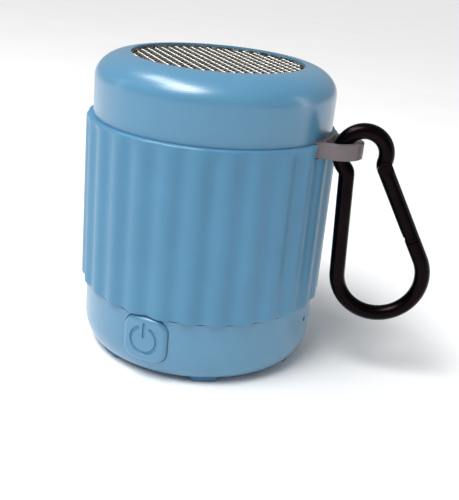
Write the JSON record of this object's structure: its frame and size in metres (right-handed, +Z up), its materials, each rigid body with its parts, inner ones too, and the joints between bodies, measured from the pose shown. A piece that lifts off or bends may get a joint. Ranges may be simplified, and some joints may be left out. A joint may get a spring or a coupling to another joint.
{
  "type": "shower speaker",
  "caption": "Round splash-proof loudspeaker with fluted grip sleeve, wire grille on top, front press button, side eyelet and a hanging snap hook with sprung gate.",
  "frame": {"origin": "centre of the plane the feet stand on", "axes": "+Z up along the casing's axis, +X towards the eyelet and snap hook, -Y towards the power button"},
  "size_m": [0.1088, 0.0756, 0.0909],
  "materials": {
    "shell": "satin soft-touch blue moulding",
    "grip": "satin silicone",
    "foot_rubber": "matt",
    "seal": "matt",
    "wire": "woven stainless wire",
    "steel": "zinc plated",
    "membrane": "matt black film",
    "eyelet": "satin warm grey",
    "black_plastic": "matt",
    "magnet": "matt ferrite",
    "surround_rubber": "matt",
    "spider_cloth": "resin-treated woven cloth",
    "cone": "polypropylene",
    "copper": "enamelled wire",
    "board": "solder mask",
    "cell": "foil pouch",
    "foam": "foam",
    "lead_red": "insulated wire",
    "lead_black": "insulated wire",
    "plunger": "natural",
    "anodised": "black anodised"
  },
  "bodies": {
    "housing": {"base_shell": "shell", "top_shell": "shell", "grip_sleeve": "grip", "shell_seal": "seal", "case_screws": "steel", "feet": "foot_rubber", "grille_wires": "wire", "grille_hoop": "wire", "splash_membrane": "membrane", "carabiner_loop": "eyelet", "loop_plate": "steel", "loop_screws": "steel", "driver_basket": "black_plastic", "driver_gasket": "seal", "driver_screws": "steel", "driver_magnet": "magnet", "driver_top_plate": "steel", "driver_yoke": "steel", "driver_surround": "surround_rubber", "driver_spider": "spider_cloth", "main_board": "board", "board_screws": "steel", "battery_tray": "black_plastic", "battery_pad": "foam", "battery_cell": "cell", "battery_lead": "lead_red", "speaker_lead": "lead_black", "usb_socket": "steel", "power_switch": "black_plastic", "microphone": "steel", "amplifier_chip": "black_plastic", "cover_tether": "grip"},
    "power_button": {"power_button": "shell", "switch_plunger": "plunger"},
    "cone": {"driver_cone": "cone", "driver_dust_cap": "cone", "driver_coil": "copper"},
    "snap_hook": {"carabiner_frame": "anodised"},
    "gate": {"carabiner_gate": "anodised", "gate_rivet": "steel", "gate_latch_pin": "steel", "gate_spring": "steel"},
    "port_cover": {"port_cover": "grip"}
  },
  "joints": [
    {"name": "button_press", "type": "slide", "parent": "housing", "child": "power_button", "axis": [0, 1, 0], "range_m": [0, 0.0008], "stiffness_N_per_m": 2500},
    {"name": "cone_stroke", "type": "slide", "parent": "housing", "child": "cone", "axis": [0, 0, 1], "range_m": [-0.0008, 0.0008], "stiffness_N_per_m": 1800, "deforming": ["driver_surround", "driver_spider"]},
    {"name": "hook_swing", "type": "hinge", "parent": "housing", "child": "snap_hook", "pos_m": [0.04572, 0, 0.0708], "axis": [0.342, -0.9397, 0], "range_deg": [-3, 118]},
    {"name": "gate_swing", "type": "hinge", "parent": "snap_hook", "child": "gate", "pos_m": [0.05353, 0.00284, 0.06644], "axis": [-0.342, 0.9397, 0], "range_deg": [0, 28], "stiffness_Nm_per_rad": 0.02, "springref_deg": -17.19},
    {"name": "cover_swing", "type": "hinge", "parent": "housing", "child": "port_cover", "pos_m": [0.0071, 0.0357, 0.0126], "axis": [0, 0, -1], "range_deg": [0, 95], "stiffness_Nm_per_rad": 0.002, "springref_deg": -5.73}
  ]
}
